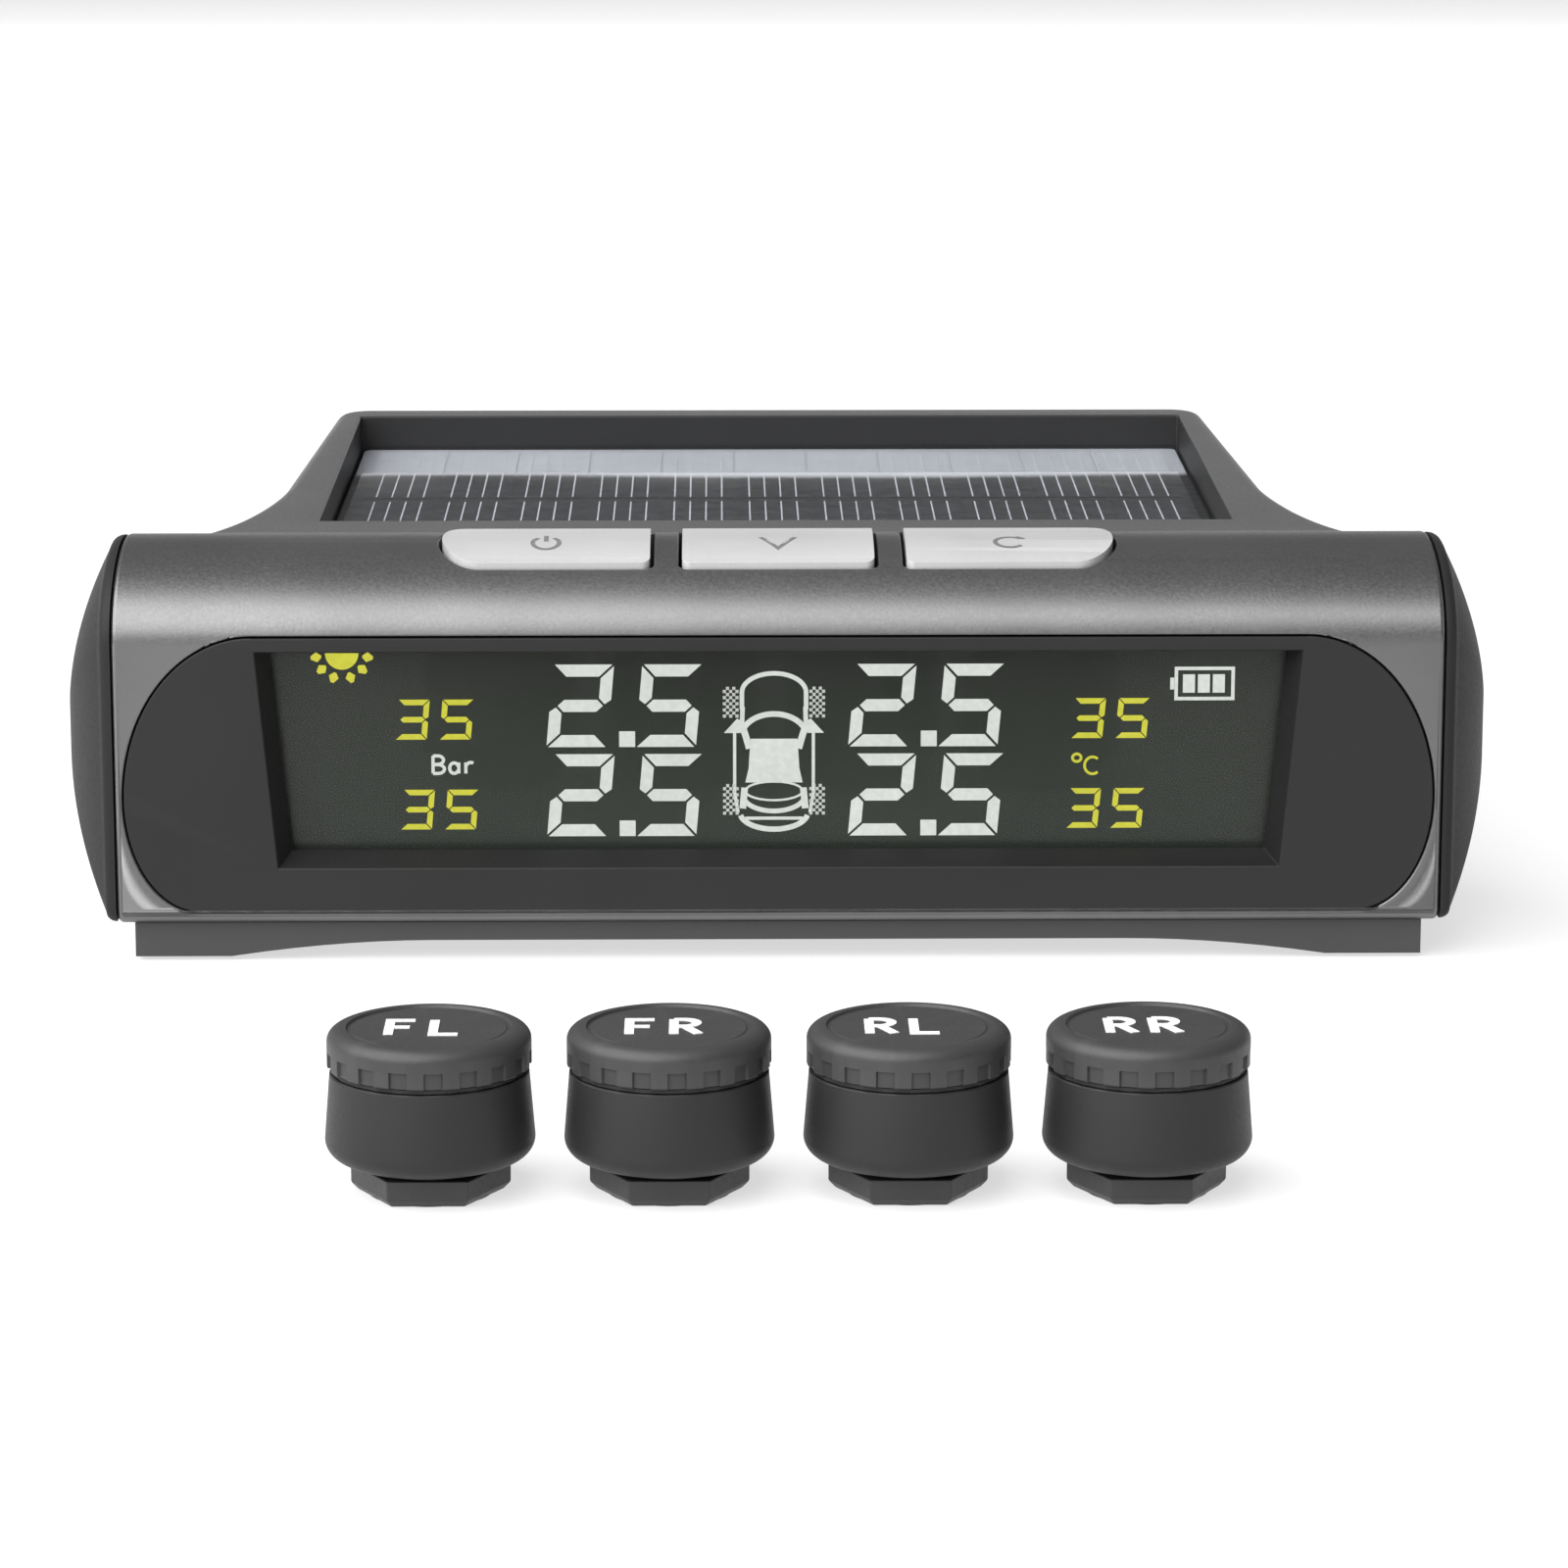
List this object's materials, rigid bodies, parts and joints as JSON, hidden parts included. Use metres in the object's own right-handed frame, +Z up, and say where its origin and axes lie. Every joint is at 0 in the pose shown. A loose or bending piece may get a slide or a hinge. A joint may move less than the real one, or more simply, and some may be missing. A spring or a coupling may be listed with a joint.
{
  "type": "tyre pressure monitor",
  "caption": "Dashboard tyre pressure monitor: round-fronted housing with a display window, push buttons and a solar deck, plus loose screw-on valve-cap sensors.",
  "frame": {"origin": "on the resting surface, under the middle of the monitor's base, on the sticky pad's lower face", "axes": "+X to the viewer's right, +Y from the display to the rear, +Z up; the sensors stand in front, along X"},
  "size_m": [0.1078, 0.1428, 0.0308],
  "materials": {
    "housing_plastic": "fine-textured dark grey ABS",
    "base_plastic": "fine-textured dark grey ABS",
    "bezel_plastic": "smooth satin dark grey ABS",
    "button_plastic": "satin silver painted plastic",
    "clear_plastic": "clear acrylic window",
    "lcd_glass": "dark negative liquid crystal display with lit yellow and white symbols",
    "light_guide": "milky acrylic light guide",
    "circuit_board": "green solder mask on glass-epoxy board",
    "solar_silicon": "dark silicon cells with fine silver fingers",
    "solar_cover": "clear resin cover",
    "plated_steel": "bright plated steel",
    "black_plastic": "moulded black plastic",
    "foil_pouch": "silver foil pouch",
    "brass_wire": "bare coiled wire",
    "brass_insert": "machined and threaded brass",
    "pad_rubber": "soft silicone",
    "seal_rubber": "smooth black rubber",
    "sensor_plastic": "fine-textured black nylon",
    "sensor_cap_plastic": "fine-textured dark grey nylon"
  },
  "bodies": {
    "monitor": {"upper_housing": "housing_plastic", "end_cap_left": "housing_plastic", "end_cap_right": "housing_plastic", "base_cover": "base_plastic", "display_bezel": "bezel_plastic", "adhesive_pad": "pad_rubber", "foot_pad_left": "pad_rubber", "foot_pad_right": "pad_rubber", "window_lens": "clear_plastic", "lcd_panel": "lcd_glass", "lcd_backlight": "light_guide", "lcd_board": "circuit_board", "button_board": "circuit_board", "main_board": "circuit_board", "solar_substrate": "circuit_board", "solar_cells": "solar_silicon", "solar_glass": "solar_cover", "usb_socket": "plated_steel", "rf_module": "plated_steel", "buzzer": "black_plastic", "battery_pack": "foil_pouch", "antenna": "brass_wire", "screw_1": "plated_steel", "screw_2": "plated_steel", "screw_3": "plated_steel", "screw_4": "plated_steel", "tact_switch_1": "plated_steel", "tact_switch_2": "plated_steel", "tact_switch_3": "plated_steel"},
    "power_key": {"power_button": "button_plastic", "switch_plunger_1": "black_plastic"},
    "menu_key": {"menu_button": "button_plastic", "switch_plunger_2": "black_plastic"},
    "set_key": {"set_button": "button_plastic", "switch_plunger_3": "black_plastic"},
    "front_left_sensor": {"front_left_sensor_body": "sensor_plastic", "front_left_valve_insert": "brass_insert", "front_left_sensor_board": "circuit_board", "front_left_coin_cell": "plated_steel"},
    "front_left_seal": {"front_left_seal_ring": "seal_rubber"},
    "front_left_cap": {"front_left_sensor_cap": "sensor_cap_plastic"},
    "front_right_sensor": {"front_right_sensor_body": "sensor_plastic", "front_right_valve_insert": "brass_insert", "front_right_sensor_board": "circuit_board", "front_right_coin_cell": "plated_steel"},
    "front_right_seal": {"front_right_seal_ring": "seal_rubber"},
    "front_right_cap": {"front_right_sensor_cap": "sensor_cap_plastic"},
    "rear_left_sensor": {"rear_left_sensor_body": "sensor_plastic", "rear_left_valve_insert": "brass_insert", "rear_left_sensor_board": "circuit_board", "rear_left_coin_cell": "plated_steel"},
    "rear_left_seal": {"rear_left_seal_ring": "seal_rubber"},
    "rear_left_cap": {"rear_left_sensor_cap": "sensor_cap_plastic"},
    "rear_right_sensor": {"rear_right_sensor_body": "sensor_plastic", "rear_right_valve_insert": "brass_insert", "rear_right_sensor_board": "circuit_board", "rear_right_coin_cell": "plated_steel"},
    "rear_right_seal": {"rear_right_seal_ring": "seal_rubber"},
    "rear_right_cap": {"rear_right_sensor_cap": "sensor_cap_plastic"}
  },
  "joints": [
    {"name": "power_press", "type": "slide", "parent": "monitor", "child": "power_key", "axis": [0, 0, -1], "range_m": [0, 0.0005], "stiffness_N_per_m": 800},
    {"name": "menu_press", "type": "slide", "parent": "monitor", "child": "menu_key", "axis": [0, 0, -1], "range_m": [0, 0.0005], "stiffness_N_per_m": 800},
    {"name": "set_press", "type": "slide", "parent": "monitor", "child": "set_key", "axis": [0, 0, -1], "range_m": [0, 0.0005], "stiffness_N_per_m": 800},
    {"name": "front_left_lift", "type": "slide", "parent": "monitor", "child": "front_left_sensor", "axis": [0, 0, 1], "range_m": [0, 0.05]},
    {"name": "front_left_thread_rise", "type": "slide", "parent": "front_left_sensor", "child": "front_left_seal", "axis": [0, 0, 1], "range_m": [0, 0.00101]},
    {"name": "front_left_cap_turn", "type": "hinge", "parent": "front_left_seal", "child": "front_left_cap", "pos_m": [-0.02318, -0.098, 0.01], "axis": [0, 0, 1], "range_deg": [0, 360]},
    {"name": "front_right_lift", "type": "slide", "parent": "monitor", "child": "front_right_sensor", "axis": [0, 0, 1], "range_m": [0, 0.05]},
    {"name": "front_right_thread_rise", "type": "slide", "parent": "front_right_sensor", "child": "front_right_seal", "axis": [0, 0, 1], "range_m": [0, 0.00101]},
    {"name": "front_right_cap_turn", "type": "hinge", "parent": "front_right_seal", "child": "front_right_cap", "pos_m": [-0.00773, -0.098, 0.01], "axis": [0, 0, 1], "range_deg": [0, 360]},
    {"name": "rear_left_lift", "type": "slide", "parent": "monitor", "child": "rear_left_sensor", "axis": [0, 0, 1], "range_m": [0, 0.05]},
    {"name": "rear_left_thread_rise", "type": "slide", "parent": "rear_left_sensor", "child": "rear_left_seal", "axis": [0, 0, 1], "range_m": [0, 0.00101]},
    {"name": "rear_left_cap_turn", "type": "hinge", "parent": "rear_left_seal", "child": "rear_left_cap", "pos_m": [0.00773, -0.098, 0.01], "axis": [0, 0, 1], "range_deg": [0, 360]},
    {"name": "rear_right_lift", "type": "slide", "parent": "monitor", "child": "rear_right_sensor", "axis": [0, 0, 1], "range_m": [0, 0.05]},
    {"name": "rear_right_thread_rise", "type": "slide", "parent": "rear_right_sensor", "child": "rear_right_seal", "axis": [0, 0, 1], "range_m": [0, 0.00101]},
    {"name": "rear_right_cap_turn", "type": "hinge", "parent": "rear_right_seal", "child": "rear_right_cap", "pos_m": [0.02318, -0.098, 0.01], "axis": [0, 0, 1], "range_deg": [0, 360]}
  ],
  "couplings": [
    {"joint": "front_left_thread_rise", "follows": "front_left_cap_turn", "m_per_rad": 0.00015915},
    {"joint": "front_right_thread_rise", "follows": "front_right_cap_turn", "m_per_rad": 0.00015915},
    {"joint": "rear_left_thread_rise", "follows": "rear_left_cap_turn", "m_per_rad": 0.00015915},
    {"joint": "rear_right_thread_rise", "follows": "rear_right_cap_turn", "m_per_rad": 0.00015915}
  ]
}
